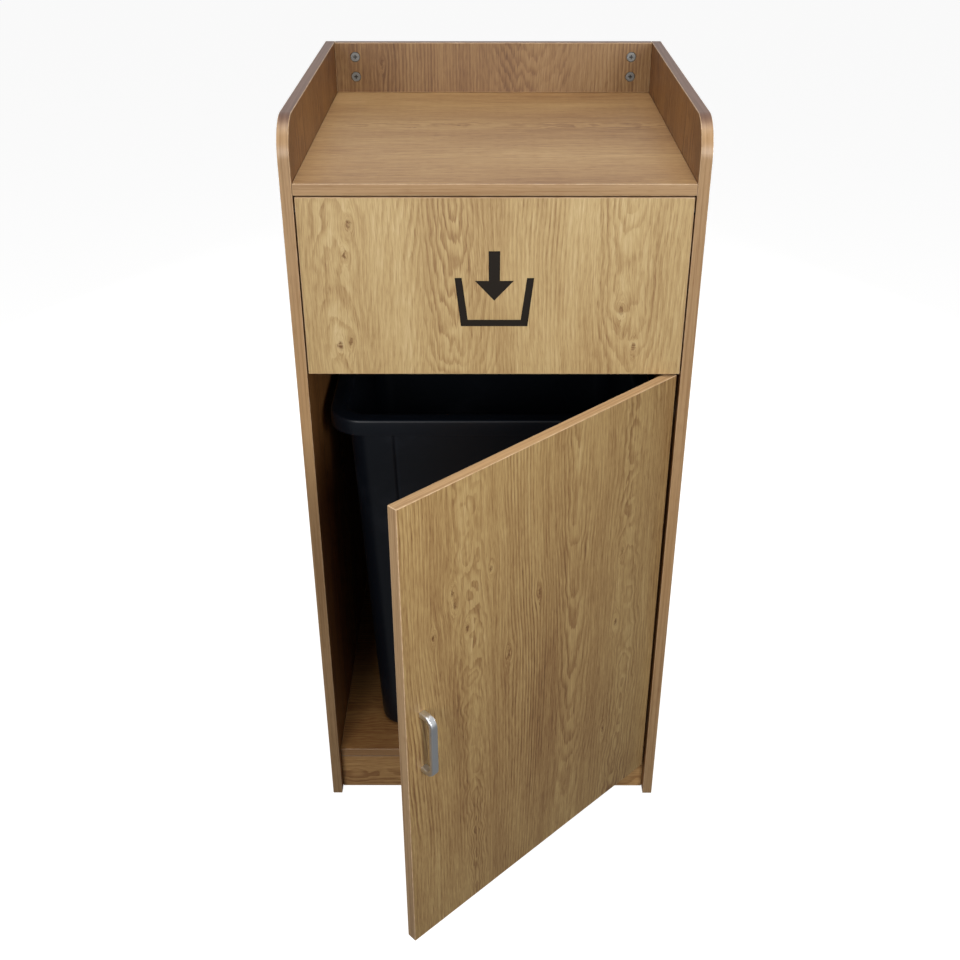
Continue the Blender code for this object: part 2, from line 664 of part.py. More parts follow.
def bin_rings():
    """Rounded sections of the bin, from under its floor, up outside, over the rim and down inside."""
    rim_x, rim_y = BIN_RIM[0] / 2, BIN_RIM[1] / 2
    top, skirt_low, wall = BIN_TOP, BIN_TOP - BIN_SKIRT, BIN_WALL
    body_x, body_y = rim_x - BIN_OVERHANG, rim_y - BIN_OVERHANG
    low_x, low_y = body_x - BIN_TAPER[0], body_y - BIN_TAPER[1]
    sections = [
        (low_x - 0.012, low_y - 0.012, 0.030, BIN_BOTTOM),
        (low_x - 0.003, low_y - 0.003, 0.037, BIN_BOTTOM + 0.004),
        (low_x, low_y, 0.038, BIN_BOTTOM + 0.014),
        (body_x, body_y, 0.034, skirt_low + 0.010),
        (rim_x - wall, rim_y - wall, 0.049, top - 0.010),
        (rim_x - wall, rim_y - wall, 0.049, skirt_low),
        (rim_x, rim_y, 0.052, skirt_low),
        (rim_x, rim_y, 0.052, top - 0.006),
        (rim_x - 0.002, rim_y - 0.002, 0.050, top - 0.0015),
        (rim_x - 0.006, rim_y - 0.006, 0.048, top),
        (body_x + 0.001, body_y + 0.001, 0.035, top),
        (body_x - wall, body_y - wall, 0.031, top - 0.006),
        (low_x - wall, low_y - wall, 0.035, BIN_BOTTOM + 0.014),
        (low_x - 0.010, low_y - 0.010, 0.031, BIN_BOTTOM + 0.006),
    ]
    return [rounded_ring(x, y, r, z - BIN_BOTTOM) for x, y, r, z in sections]


def add_bin(finish, bin_frame):
    mesh = smooth(mesh_from("waste_bin", lambda bm: loft(bm, bin_rings())), 50)
    place("waste_bin", mesh, finish["bin"], bin_frame, (0, BIN_CENTRE_Y, BIN_BOTTOM))


# ---------------------------------------------------------------- assembly

def main():
    clear_scene()
    wood = {
        "sides": make_material("side_laminate", (0.36, 0.22, 0.10), 0.5),
        "shelf": make_material("shelf_laminate", (0.40, 0.25, 0.12), 0.5),
        "guard": make_material("guard_laminate", (0.38, 0.24, 0.11), 0.5),
        "deck": make_material("deck_laminate", (0.30, 0.18, 0.08), 0.5),
        "plinth": make_material("plinth_laminate", (0.28, 0.17, 0.08), 0.5),
        "strip": make_material("strip_laminate", (0.33, 0.20, 0.10), 0.6),
        "flap": make_material("flap_laminate", (0.50, 0.36, 0.19), 0.5),
        "door": make_material("door_laminate", (0.42, 0.27, 0.13), 0.5),
    }
    metal = {
        "cam": make_material("cam_zinc", (0.45, 0.45, 0.46), 0.4, 1.0),
        "bolt": make_material("bolt_steel", (0.60, 0.58, 0.52), 0.35, 1.0),
        "steel": make_material("plain_steel", (0.55, 0.56, 0.58), 0.35, 1.0),
        "handle": make_material("handle_satin", (0.55, 0.58, 0.60), 0.35, 1.0),
        "cup": make_material("hinge_cup_nickel", (0.62, 0.61, 0.58), 0.3, 1.0),
        "hinge": make_material("hinge_nickel", (0.60, 0.59, 0.56), 0.3, 1.0),
        "plate": make_material("plate_nickel", (0.58, 0.57, 0.54), 0.35, 1.0),
    }
    plain = {
        "sign": make_material("sign_dark", (0.02, 0.012, 0.008), 0.6),
        "nylon": make_material("bush_nylon", (0.022, 0.021, 0.020), 0.5),
        "rubber": make_material("bumper_rubber", (0.50, 0.48, 0.45), 0.6),
        "bin": make_material("bin_plastic", (0.010, 0.011, 0.014), 0.4),
    }
    panel_finish = make_material("back_panel_board", (0.32, 0.20, 0.10), 0.6)

    finish = {**wood, **metal, **plain}
    cabinet = add_frame("cabinet_frame", (0, -MIDDLE_Y, 0))
    flap = add_frame("flap_axis", (0, BOARD / 2, PIVOT_Z), cabinet)
    door = add_frame("door_axis", (HINGE_X, HINGE_Y, 0), cabinet, DOOR_REST)
    links = add_frame("hinge_link_axis", (HINGE_X, HINGE_Y, 0), cabinet, DOOR_REST / 2)
    bin_frame = add_frame("bin_frame", (0, BIN_CENTRE_Y, DECK_TOP), cabinet)

    add_boards(wood, panel_finish, cabinet)
    add_cam_locks(finish, cabinet)
    add_flap(finish, flap, cabinet)
    door_panel = add_door(finish, door)
    add_hinges(finish, cabinet, door, links, door_panel)
    add_bin(finish, bin_frame)
    bpy.context.view_layer.update()


main()
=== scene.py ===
"""Looks of the waste cabinet: oak-print boards, satin hardware and a black liner bin on the CAD frame.

Lengths are metres in the row frame: +X right, +Y back, +Z up. Boards are rebuilt with eased edges,
edge bands and raw ends; the bin and the handle are rebuilt as smooth shells; the small hardware
keeps its CAD shape with bevels and its own finishes.
"""
import json
import math

import bmesh
import bpy
from mathutils import Matrix, Vector


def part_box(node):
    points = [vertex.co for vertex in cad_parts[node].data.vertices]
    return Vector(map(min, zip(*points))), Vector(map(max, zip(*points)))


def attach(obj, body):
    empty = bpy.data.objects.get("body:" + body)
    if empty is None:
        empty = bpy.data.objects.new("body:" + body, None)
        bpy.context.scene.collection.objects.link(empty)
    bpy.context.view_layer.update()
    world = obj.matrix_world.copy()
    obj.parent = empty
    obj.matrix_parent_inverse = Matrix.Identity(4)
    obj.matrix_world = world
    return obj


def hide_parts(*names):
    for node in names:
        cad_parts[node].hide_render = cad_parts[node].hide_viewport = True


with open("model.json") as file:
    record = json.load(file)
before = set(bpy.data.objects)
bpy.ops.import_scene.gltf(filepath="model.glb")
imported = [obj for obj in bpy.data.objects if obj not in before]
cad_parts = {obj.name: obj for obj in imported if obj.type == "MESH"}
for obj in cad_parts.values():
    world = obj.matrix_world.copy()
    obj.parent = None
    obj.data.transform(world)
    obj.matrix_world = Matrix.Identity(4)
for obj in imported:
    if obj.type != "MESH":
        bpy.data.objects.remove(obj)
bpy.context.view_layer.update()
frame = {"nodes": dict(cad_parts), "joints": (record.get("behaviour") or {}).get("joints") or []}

# ---------------------------------------------------------------- places read from the frame

SIDE_LOW, SIDE_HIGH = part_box("left_side_panel")
FRONT_Y = SIDE_LOW.y
JOINTS = {joint["name"]: joint for joint in frame["joints"]}
DOOR_JOINT = JOINTS["door_hinge"]
DOOR_OPENING = -math.radians(DOOR_JOINT["range_deg"][0])
DOOR_PLACE = (Matrix.Translation((DOOR_JOINT["pos_m"][0], DOOR_JOINT["pos_m"][1], 0))
              @ Matrix.Rotation(DOOR_OPENING, 4, "Z"))


def door_box(node):
    """Box of a door piece in the closed door's coordinates, measured from the hinge axis."""
    back = DOOR_PLACE.inverted()
    points = [back @ vertex.co for vertex in frame["nodes"][node].data.vertices]
    low = Vector([min(p[axis] for p in points) for axis in range(3)])
    high = Vector([max(p[axis] for p in points) for axis in range(3)])
    return low, high


# ---------------------------------------------------------------- camera, stage and light

LENS = 44.10
CAMERA_SHIFT = -0.0061
CAMERA_PLACE = (-0.0095, FRONT_Y - 1.5249, 1.5348)
CAMERA_DOWN = 30.288   # degrees
CAMERA_TURN = 0.079
KEY_POWER = 18.5
FILL_POWER = 19
TOP_POWER = 23
REAR_POWER = 38
WARM_WHITE = (1.0, 0.985, 0.96)
SOFT_WHITE = (1.0, 0.985, 0.97)
FLOOR_HALF = 40.0
FLOOR_GREY = 0.30
FLOOR_GLOW = 0.92
# World strength: as light on the boards, to the camera, and in reflections from above and below.
WORLD_FILL = 0.09
BACKDROP = 0.95
SHEEN_UP = 0.60
SHEEN_DOWN = 0.14


def add_camera():
    """Eye-height view from straight in front, looking 30 degrees down."""
    data = bpy.data.cameras.new("camera")
    data.lens = LENS
    data.sensor_width = 36.0
    data.shift_x = CAMERA_SHIFT
    camera = bpy.data.objects.new("camera", data)
    bpy.context.scene.collection.objects.link(camera)
    camera.location = CAMERA_PLACE
    camera.rotation_euler = (math.radians(90 - CAMERA_DOWN), 0.0, math.radians(CAMERA_TURN))
    bpy.context.scene.camera = camera


def add_floor():
    """Pale, softly glowing floor that sends neither light nor reflections up to the cabinet."""
    floor = bpy.data.meshes.new("floor")
    corners = [(-FLOOR_HALF, -FLOOR_HALF, 0), (FLOOR_HALF, -FLOOR_HALF, 0),
               (FLOOR_HALF, FLOOR_HALF, 0), (-FLOOR_HALF, FLOOR_HALF, 0)]
    floor.from_pydata(corners, [], [(0, 1, 2, 3)])
    stage = bpy.data.objects.new("floor", floor)
    bpy.context.scene.collection.objects.link(stage)
    pale = bpy.data.materials.new("pale_floor")
    pale.use_nodes = True
    shader = pale.node_tree.nodes["Principled BSDF"]
    shader.inputs["Base Color"].default_value = (FLOOR_GREY, FLOOR_GREY, FLOOR_GREY, 1)
    shader.inputs["Roughness"].default_value = 0.95
    shader.inputs["Specular IOR Level"].default_value = 0.0
    shader.inputs["Emission Color"].default_value = (1, 1, 1, 1)
    shader.inputs["Emission Strength"].default_value = FLOOR_GLOW
    floor.materials.append(pale)
    stage.visible_diffuse = False
    stage.visible_glossy = False


def add_sky():
    """White world: weak as a light, even for the camera, brighter above than below in reflections."""
    s = Sky()
    path = s.node("ShaderNodeLightPath").outputs
    upward = s.math("GREATER_THAN", s.axes()["Z"], 0.0)
    sheen = s.scaled(upward, SHEEN_UP - SHEEN_DOWN, SHEEN_DOWN)
    white = s.math("MULTIPLY", path["Is Camera Ray"], BACKDROP - WORLD_FILL)
    strength = s.math("ADD", s.math("MULTIPLY_ADD", path["Is Glossy Ray"], sheen, WORLD_FILL), white)
    s.feed(s.tree.nodes["Background"].inputs["Color"], (1, 1, 1, 1))
    s.feed(s.tree.nodes["Background"].inputs["Strength"], strength)


def add_area_light(name, place, target, size, power, colour=(1, 1, 1)):
    data = bpy.data.lights.new(name, "AREA")
    data.shape = "DISK"
    data.size = size
    data.energy = power
    data.color = colour
    light = bpy.data.objects.new(name, data)
    bpy.context.scene.collection.objects.link(light)
    light.location = place
    light.rotation_euler = (Vector(target) - light.location).to_track_quat("-Z", "Y").to_euler()


def add_lamps():
    """Two soft lamps in front of the flap, one over the shelf and a low one behind each side."""
    flap_centre = (0, FRONT_Y, 0.95)
    shelf_centre = (0, FRONT_Y + 0.2, 1.1)
    cabinet_centre = (0, FRONT_Y + 0.4, 0.6)
    add_area_light("key", (0.72, FRONT_Y - 1.65, 1.45), flap_centre, 0.6, KEY_POWER, WARM_WHITE)
    add_area_light("fill", (-0.78, FRONT_Y - 1.80, 1.40), flap_centre, 0.8, FILL_POWER, WARM_WHITE)
    add_area_light("top", (0, FRONT_Y - 0.20, 2.80), shelf_centre, 1.2, TOP_POWER, SOFT_WHITE)
    for word, sign in (("left", -1), ("right", 1)):
        add_area_light(f"rear_{word}", (sign * 1.9, FRONT_Y + 1.6, 0.75), cabinet_centre, 1.0, REAR_POWER)


def add_studio():
    """White room with soft lamps."""
    add_floor()
    add_sky()
    add_lamps()
    bpy.context.scene.view_settings.view_transform = "Standard"


# ---------------------------------------------------------------- shading helpers

def rgba(value):
    """A colour of three numbers with full alpha; anything else as it is."""
    return (*value, 1) if isinstance(value, tuple) and len(value) == 3 else value


class Shade:
    """A material's node tree, with short calls for the nodes that the finishes use."""

    def __init__(self, name):
        self.material = bpy.data.materials.new(name)
        self.material.use_nodes = True
        self.tree = self.material.node_tree
        self.shader = self.tree.nodes["Principled BSDF"]
        self.coordinates = self.tree.nodes.new("ShaderNodeTexCoord").outputs["Object"]

    def node(self, kind, **settings):
        node = self.tree.nodes.new(kind)
        for name, value in settings.items():
            setattr(node, name, value)
        return node

    def feed(self, socket, value):
        if isinstance(value, bpy.types.NodeSocket):
            self.tree.links.new(value, socket)
        else:
            socket.default_value = value

    def math(self, operation, first, second=0.0, third=0.0):
        node = self.node("ShaderNodeMath", operation=operation)
        for socket, value in zip(node.inputs, (first, second, third)):
            self.feed(socket, value)
        return node.outputs[0]

    def axes(self):
        node = self.node("ShaderNodeSeparateXYZ")
        self.feed(node.inputs[0], self.coordinates)
        return dict(zip("XYZ", node.outputs))

    def point(self, x, y, z=0.0):
        node = self.node("ShaderNodeCombineXYZ")
        for socket, value in zip(node.inputs, (x, y, z)):
            self.feed(socket, value)
        return node.outputs[0]

    def scaled(self, value, scale, offset=0.0):
        return self.math("MULTIPLY_ADD", value, scale, offset)

    def swing(self, noise, span):
        """Noise of 0 to 1 turned into minus to plus half of span."""
        return self.scaled(noise, span, -span / 2)

    def noise(self, vector, scale=1.0, detail=2.0, roughness=0.5):
        node = self.node("ShaderNodeTexNoise")
        self.feed(node.inputs["Vector"], vector)
        self.feed(node.inputs["Scale"], scale)
        self.feed(node.inputs["Detail"], detail)
        self.feed(node.inputs["Roughness"], roughness)
        return node.outputs["Fac"]

    def step(self, value, low, high, to_low=0.0, to_high=1.0):
        """Smooth change from to_low to to_high while the value goes from low to high."""
        node = self.node("ShaderNodeMapRange", interpolation_type="SMOOTHSTEP")
        for name, number in (("From Min", low), ("From Max", high), ("To Min", to_low),
                             ("To Max", to_high)):
            self.feed(node.inputs[name], number)
        self.feed(node.inputs["Value"], value)
        return node.outputs["Result"]

    def mix(self, factor, first, second, blend="MIX"):
        node = self.node("ShaderNodeMix", data_type="RGBA", blend_type=blend)
        self.feed(node.inputs["Factor"], factor)
        for name, value in (("A", first), ("B", second)):
            socket = [s for s in node.inputs if s.name == name and s.type == "RGBA"][0]
            self.feed(socket, rgba(value))
        return [s for s in node.outputs if s.type == "RGBA"][0]

    def ramp(self, value, stops):
        """Colour of a value between stops of (position, colour)."""
        node = self.node("ShaderNodeValToRGB")
        elements = node.color_ramp.elements
        while len(elements) < len(stops):
            elements.new(0.5)
        for element, (position, colour) in zip(elements, stops):
            element.position = position
            element.color = rgba(colour)
        self.feed(node.inputs[0], value)
        return node.outputs[0]

    def bump(self, height, distance, strength=0.5):
        node = self.node("ShaderNodeBump")
        self.feed(node.inputs["Strength"], strength)
        self.feed(node.inputs["Distance"], distance)
        self.feed(node.inputs["Height"], height)
        return node.outputs["Normal"]

    def finish(self, colour, roughness, normal=None, **numbers):
        """Feed the shader and give back the material."""
        self.feed(self.shader.inputs["Base Color"], rgba(colour))
        self.feed(self.shader.inputs["Roughness"], roughness)
        if normal is not None:
            self.feed(self.shader.inputs["Normal"], normal)
        for name, value in numbers.items():
            self.shader.inputs[name.replace("_", " ").title()].default_value = value
        return self.material


class Sky(Shade):
    """The world's node tree, with the same short calls."""

    def __init__(self):
        world = bpy.data.worlds.new("studio")
        bpy.context.scene.world = world
        world.use_nodes = True
        self.tree = world.node_tree
        self.coordinates = self.tree.nodes.new("ShaderNodeTexCoord").outputs["Generated"]


# ---------------------------------------------------------------- oak print

OAK_STOPS = ((0.02, (0.150, 0.072, 0.026)), (0.28, (0.300, 0.175, 0.074)), (0.50, (0.430, 0.292, 0.132)),
             (0.70, (0.535, 0.392, 0.190)), (0.98, (0.660, 0.525, 0.300)))
# Streaks per metre across and along the grain, and how much they darken or lighten.
OAK_STREAKS = ((30, 1.5, 0.26), (95, 3.0, 0.27), (250, 7.0, 0.38), (620, 20.0, 0.62), (1150, 60.0, 0.55))
KNOT_DARK = (0.150, 0.058, 0.015)
# How the grain bends round a knot: width over length, and how hard and how far it is pushed aside.
KNOT_STRETCH = 0.42
KNOT_PUSH = 5
KNOT_REACH = 2.6


class Grain:
    """Coordinates across and along the grain, in metres, wandering gently and parting at knots."""

    def __init__(self, shade, across, along, seed, knots):
        self.shade, self.seed = shade, seed
        axes = shade.axes()
        self.u, self.v = axes[across], axes[along]
        drift = shade.math("ADD", shade.swing(self.noise(3.2, 1.1), 0.070),
                           shade.swing(self.noise(26, 6.5), 0.0052))
        self.lumpy = shade.math("ADD", self.u, shade.swing(self.noise(190, 90), 0.0090))
        self.knot = None
        for knot_u, knot_v, size in knots:
            drift = shade.math("ADD", drift, self.part_at(knot_u, knot_v, size))
        self.u = shade.math("ADD", self.u, drift)

    def noise(self, across, along, detail=2, shift=0.0):
        s = self.shade
        place = s.point(s.scaled(self.u, across, self.seed + shift), s.scaled(self.v, along, self.seed))
        return s.noise(place, detail=detail)

    def part_at(self, knot_u, knot_v, size):
        """Sideways shift of the grain as it flows round one knot."""
        s = self.shade
        du = s.math("SUBTRACT", self.lumpy, knot_u)
        dv = s.math("MULTIPLY", s.math("SUBTRACT", self.v, knot_v), KNOT_STRETCH)
        square = s.math("ADD", s.math("MULTIPLY", du, du), s.math("MULTIPLY", dv, dv))
        area = size * size
        share = s.math("DIVIDE", -area * KNOT_PUSH, s.math("ADD", square, area * KNOT_REACH))
        core = s.step(square, area * 0.05, area * 0.95, 1.0, 0.0)
        self.knot = core if self.knot is None else s.math("MAXIMUM", self.knot, core)
        return s.math("MULTIPLY", du, share)


def rings(grain, hearts):
    """Late-wood lines of each stave, 0 to 1, and how close a point is to a stave's heart.

    hearts are (centre, half width, pith, ring pitch, depth, slope, ripple): the rings are circles
    about a pith beside the stave's centre that lies `depth` under the face and dives by `slope`
    along it; `ripple` is how far they waver near the centre.
    """
    s = grain.shade
    ragged = s.math("ADD", s.swing(grain.noise(95, 5), 0.050), s.swing(grain.noise(330, 9, shift=4), 0.030))
    along = s.math("ADD", grain.v, ragged)
    lift = s.swing(grain.noise(2.2, 7.0, shift=7), 0.030)
    waver = grain.noise(44, 30, detail=1.5, shift=5)
    phase, nearest = None, None
    for centre, half, pith, pitch, depth, slope, ripple in hearts:
        away = s.math("SUBTRACT", grain.u, centre + pith)
        sink = s.math("ADD", s.scaled(along, slope, depth), lift)
        radius = s.math("SQRT", s.math("ADD", s.math("MULTIPLY", away, away),
                                       s.math("MULTIPLY", sink, sink)))
        reach = s.math("ABSOLUTE", s.math("DIVIDE", s.math("SUBTRACT", grain.u, centre), half))
        if ripple:
            near = s.step(reach, 0.25, 0.9, 1.0, 0.0)
            radius = s.math("ADD", radius, s.math("MULTIPLY", near, s.swing(waver, 2 * ripple)))
        turns = s.math("DIVIDE", radius, pitch)
        if phase is None:
            phase, nearest = turns, reach
            continue
        closer = s.math("LESS_THAN", reach, nearest)
        keep = s.math("SUBTRACT", 1.0, closer)
        phase = s.math("ADD", s.math("MULTIPLY", turns, closer), s.math("MULTIPLY", phase, keep))
        nearest = s.math("MINIMUM", reach, nearest)
    # Each ring darkens slowly and ends sharply.
    part = s.math("FRACT", s.math("ADD", phase, s.swing(grain.noise(420, 12, shift=9), 0.30)))
    late = s.math("MULTIPLY", s.step(part, 0.22, 0.84), s.step(part, 0.90, 1.0, 1.0, 0.0))
    return late, s.step(nearest, 0.15, 1.05, 1.0, 0.0)


def oak_value(grain, late, heart, contrast, lift):
    """How light the print is before its pores: slow clouds, streaks and late-wood lines."""
    s = grain.shade
    value = s.scaled(grain.noise(7, 1.3, shift=1), 0.62 * contrast, 0.55 + lift - 0.31 * contrast)
    for across, along, weight in OAK_STREAKS:
        streaks = grain.noise(across, along, shift=across / 9)
        value = s.math("ADD", value, s.swing(streaks, weight * contrast))
    patchy = s.step(grain.noise(16, 2.4, shift=3), 0.32, 0.66, 0.20, 1.0)
    weight = s.math("MULTIPLY", patchy, s.scaled(heart, 0.20 * contrast, 0.11 * contrast))
    value = s.math("SUBTRACT", value, s.math("MULTIPLY", late, weight))
    return s.math("ADD", value, s.scaled(heart, 0.085, -0.02))


def oak(name, across, along, hearts, knots=(), tone=(1.0, 1.0, 1.0), seed=0.0, contrast=1.0, lift=0.0):
    """Oak print in the plane of two axes."""
    s = Shade(name)
    grain = Grain(s, across, along, seed, knots)
    late, heart = rings(grain, hearts)
    value = oak_value(grain, late, heart, contrast, lift)

    # Fine pores, darkest in the late wood, and short dashes that lie in patches.
    pores = s.step(grain.noise(1500, 75, detail=1, shift=6), 0.60, 0.72)
    pores = s.math("MULTIPLY", pores, s.scaled(late, 0.6, 0.4))
    value = s.math("SUBTRACT", value, s.math("MULTIPLY", pores, 0.17))
    dashes = s.math("MULTIPLY", s.step(grain.noise(680, 42, detail=1, shift=8), 0.62, 0.72),
                    s.step(grain.noise(24, 5, shift=11), 0.40, 0.62, 0.25, 1.0))
    value = s.math("SUBTRACT", value, s.math("MULTIPLY", dashes, 0.20))

    base = s.ramp(value, OAK_STOPS)
    if grain.knot is not None:
        mottled = s.step(grain.noise(380, 210, shift=12), 0.36, 0.62, 0.30, 0.95)
        base = s.mix(s.math("MULTIPLY", grain.knot, mottled), base, KNOT_DARK)
    base = s.mix(1.0, base, tone, "MULTIPLY")
    fibre = grain.noise(520, 14, shift=2)
    relief = s.math("SUBTRACT", s.math("MULTIPLY", fibre, 0.4), pores)
    roughness = s.math("ADD", s.scaled(fibre, 0.12, 0.38), s.math("MULTIPLY", pores, 0.12))
    return s.finish(base, roughness, s.bump(relief, 0.00010))


# ---------------------------------------------------------------- edges and ends of the boards

# Painted shade: the tape on the upper edges of the sides and guard is darkened, because these edges look
# darker in the light.
TOP_EDGE_SHADE_TONE = (0.42, 0.35, 0.46)
TOP_EDGE_SHADE_BLEND = (0.016, 0.001)   # how far below the upper edge the painted shade on the tape begins and is full


def edge_band(name, flat, tone, seed, top):
    """Edge tape whose grain runs round the board; `flat` is the board's thickness axis.

    Above the height `top`, if there is one, the tape is darkened with painted shade, because the upper
    edges look darker in the light.
    """
    s = Shade(name)
    axes = s.axes()
    cross = axes[flat]
    run = s.math("ADD", *[axes[axis] for axis in "XYZ" if axis != flat])
    lines = s.noise(s.point(s.scaled(cross, 330, seed), s.scaled(run, 4, seed)), detail=3)
    fine = s.noise(s.point(s.scaled(cross, 1200, seed), s.scaled(run, 40, seed)), detail=1)
    slow = s.noise(s.point(s.scaled(cross, 20, seed), s.scaled(run, 3, seed)), detail=1)
    base = s.mix(s.step(lines, 0.40, 0.68), (0.42, 0.300, 0.175), (0.31, 0.205, 0.110))
    base = s.mix(s.math("MULTIPLY", s.step(fine, 0.56, 0.70), 0.4), base, (0.22, 0.12, 0.05))
    base = s.mix(s.math("MULTIPLY", s.step(slow, 0.4, 0.7), 0.25), base, (0.48, 0.32, 0.16))
    if top is not None:
        begin, full = TOP_EDGE_SHADE_BLEND
        # Painted shade on the upper edges' tape.
        shaded_top = s.mix(1.0, base, TOP_EDGE_SHADE_TONE, "MULTIPLY")
        base = s.mix(s.step(axes["Z"], top - begin, top - full), base, shaded_top)
    base = s.mix(1.0, base, tone, "MULTIPLY")
    return s.finish(base, s.scaled(lines, 0.08, 0.36), s.bump(fine, 0.00006))


def arris(name, tone):
    """The eased corner between face and tape, in a lighter, blotchy colour than print and tape."""
    s = Shade(name)
    blotch = s.noise(s.coordinates, scale=90, detail=3)
    base = s.mix(s.step(blotch, 0.35, 0.7), (0.54, 0.42, 0.29), (0.42, 0.30, 0.18))
    base = s.mix(1.0, base, tone, "MULTIPLY")
    return s.finish(base, s.scaled(blotch, 0.1, 0.28))


def chipboard(name):
    """Raw particle board where an end has no tape."""
    s = Shade(name)
    chips = s.node("ShaderNodeTexVoronoi")
    s.feed(chips.inputs["Vector"], s.coordinates)
    s.feed(chips.inputs["Scale"], 420.0)
    shade = s.noise(s.coordinates, scale=160, detail=3)
    base = s.mix(s.step(chips.outputs["Distance"], 0.2, 0.9), (0.52, 0.38, 0.22), (0.30, 0.20, 0.10))
    base = s.mix(s.math("MULTIPLY", s.step(shade, 0.4, 0.7), 0.5), base, (0.40, 0.28, 0.15))
    height = s.math("ADD", chips.outputs["Distance"], shade)
    return s.finish(base, 0.85, s.bump(height, 0.0003, 0.8))


# ---------------------------------------------------------------- print of each board

def flap_print():
    """Flap: a cathedral left of the sign and one at the right, knots near both ends."""
    low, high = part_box("flap_panel")
    middle = (low.z + high.z) / 2
    hearts = [(-0.052, 0.060, 0.0, 0.0070, -0.215, 0.20, 0.004),
              (-0.130, 0.045, 0.22, 0.0066, 0.05, 0.16, 0.001),
              (-0.225, 0.045, 0.010, 0.0080, -0.06, 0.10, 0.006),
              (0.070, 0.065, -0.26, 0.0056, 0.10, -0.04, 0.0),
              (0.180, 0.060, 0.0, 0.0070, 0.120, -0.10, 0.006)]
    knots = [(-0.195, middle + 0.091, 0.0036), (-0.203, middle + 0.048, 0.0030),
             (-0.201, middle - 0.078, 0.0034), (-0.216, middle - 0.084, 0.0042),
             (0.176, middle - 0.030, 0.0040), (0.196, middle - 0.085, 0.0034)]
    return oak("flap_oak", "X", "Z", hearts, knots, (0.96, 0.94, 0.92), 1.7, 0.95, 0.07)


def door_print():
    """Door: swirling staves near both edges, a tall cathedral right of the middle."""
    left = door_box("door_panel")[0].x
    hearts = [(left + 0.118, 0.040, 0.0, 0.0066, -0.010, 0.060, 0.011),
              (left + 0.020, 0.055, -0.25, 0.0054, 0.06, 0.03, 0.0),
              (left + 0.215, 0.055, 0.24, 0.0056, 0.05, -0.05, 0.0),
              (left + 0.318, 0.050, 0.0, 0.0060, 0.075, -0.085, 0.003),
              (left + 0.445, 0.055, 0.0, 0.0070, -0.012, 0.070, 0.009)]
    knots = [(left + 0.086, 0.655, 0.0034), (left + 0.090, 0.633, 0.0036),
             (left + 0.112, 0.585, 0.0036), (left + 0.155, 0.660, 0.0030),
             (left + 0.052, 0.600, 0.0028), (left + 0.190, 0.500, 0.0036),
             (left + 0.250, 0.575, 0.0030), (left + 0.430, 0.560, 0.0036),
             (left + 0.425, 0.430, 0.0040), (left + 0.410, 0.220, 0.0034)]
    return oak("door_oak", "X", "Z", hearts, knots, (0.96, 0.88, 0.76), 8.3, 1.15)


def side_print(name="side_oak", tone=(0.90, 0.80, 0.68), contrast=1.0):
    hearts = [(0.02, 0.07, 0.0, 0.0066, 0.015, 0.06, 0.003),
              (0.21, 0.08, 0.0, 0.0056, 0.16, -0.12, 0.002),
              (0.38, 0.09, 0.0, 0.0070, 0.02, 0.07, 0.004),
              (-0.10, 0.07, -0.2, 0.0060, 0.08, 0.02, 0.0)]
    knots = [(0.06, 0.62, 0.004), (0.33, 0.87, 0.004), (0.30, 0.30, 0.004)]
    return oak(name, "Y", "Z", hearts, knots, tone, 21.9, contrast)


def shaded_side_inner_print():
    """The sides' inner faces: the same figure in a darker tone, which is painted shade, with stronger
    contrast.
    """
    return side_print("side_inner_shaded_oak", (0.490, 0.305, 0.180), 1.9)


def shelf_print():
    hearts = [(FRONT_Y + 0.31, 0.04, 0.0, 0.0060, 0.030, 0.05, 0.007),
              (FRONT_Y + 0.46, 0.10, 0.25, 0.0055, 0.06, 0.03, 0.0),
              (FRONT_Y + 0.12, 0.12, -0.22, 0.0052, 0.05, -0.02, 0.0)]
    knots = [(FRONT_Y + 0.315, -0.055, 0.0024), (FRONT_Y + 0.325, 0.210, 0.0024),
             (FRONT_Y + 0.30, -0.12, 0.0022)]
    return oak("shelf_oak", "Y", "X", hearts, knots, (0.93, 0.80, 0.73), 33.1)


def guard_print():
    hearts = [(-0.15, 0.12, 0.3, 0.0060, 0.05, 0.02, 0.0),
              (0.065, 0.09, 0.0, 0.0075, 0.42, -0.30, 0.0),
              (0.21, 0.08, -0.2, 0.0055, 0.05, 0.03, 0.0)]
    return oak("guard_oak", "X", "Z", hearts, [(-0.188, 1.142, 0.003)], (0.55, 0.45, 0.39), 41.2)


def deck_print():
    hearts = [(FRONT_Y + 0.12, 0.12, 0.0, 0.0062, 0.03, 0.05, 0.006),
              (FRONT_Y + 0.40, 0.12, 0.2, 0.0062, 0.08, -0.05, 0.0)]
    return oak("deck_oak", "Y", "X", hearts, (), (0.66, 0.49, 0.36), 52.6)


def plinth_print():
    hearts = [(0.035, 0.05, 0.0, 0.0050, 0.03, 0.04, 0.004)]
    return oak("plinth_oak", "Z", "X", hearts, [(0.03, 0.19, 0.003)], (1.00, 0.80, 0.65), 63.4)


PRINTS = {"flap": flap_print, "door": door_print, "side": side_print, "shelf": shelf_print,
          "guard": guard_print, "deck": deck_print, "plinth": plinth_print}
SHADE_TOPPED = ("side", "guard")   # boards whose upper-edge tape gets painted shade
THICKNESS_AXES = {"side": "X", "shelf": "Z", "deck": "Z"}   # the other boards face front
TAPE_TONE = (0.95, 0.84, 0.73)
# The door's tape is a brighter copy of the same tape: painted light on the door's edges, for its free edge
# most.
OTHER_TAPE_TONES = {"deck": (0.86, 0.68, 0.52), "plinth": (0.86, 0.68, 0.52), "door": (1.20, 1.09, 0.98)}
ARRIS_FADE = {"deck": 0.80, "plinth": 0.62}
FIRST_TAPE_SEED = 3.0


